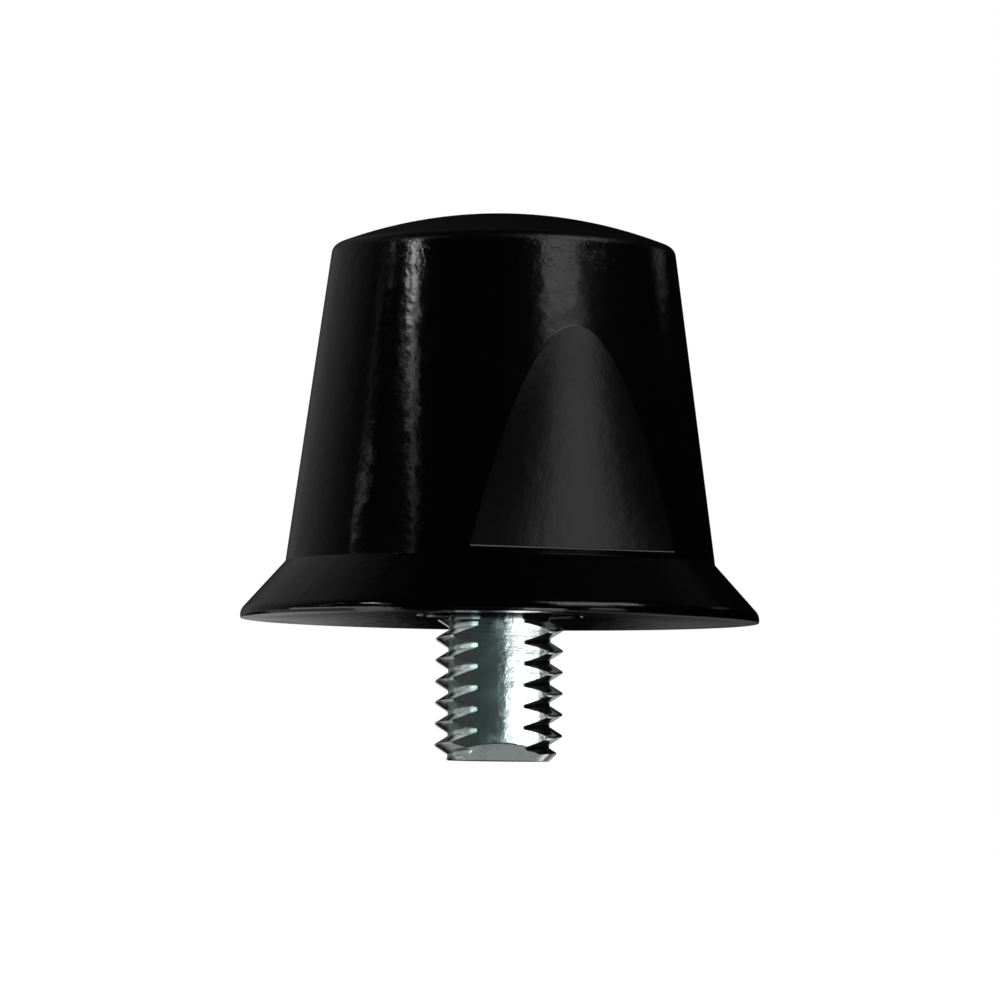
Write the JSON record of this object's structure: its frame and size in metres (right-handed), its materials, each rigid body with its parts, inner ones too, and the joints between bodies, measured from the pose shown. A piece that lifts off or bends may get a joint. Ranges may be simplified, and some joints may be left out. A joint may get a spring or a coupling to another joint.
{
  "type": "screw-in boot stud",
  "caption": "Conical screw-in boot stud: black moulded body with a flared skirt, domed end and spanner flats, on a plated steel thread.",
  "frame": {"origin": "on the thread's axis, in the plane of the seat that bears on the sole", "axes": "+Z along the axis from the thread to the domed end that meets the ground; the spanner flats face +Y and -Y"},
  "size_m": [0.0204, 0.0204, 0.0215],
  "materials": {
    "black_nylon": "moulded, glossy, with a faint orange peel and scuffs",
    "plated_steel": "bright zinc plate"
  },
  "bodies": {
    "root": {"stud_body": "black_nylon", "threaded_insert": "plated_steel"}
  },
  "joints": []
}
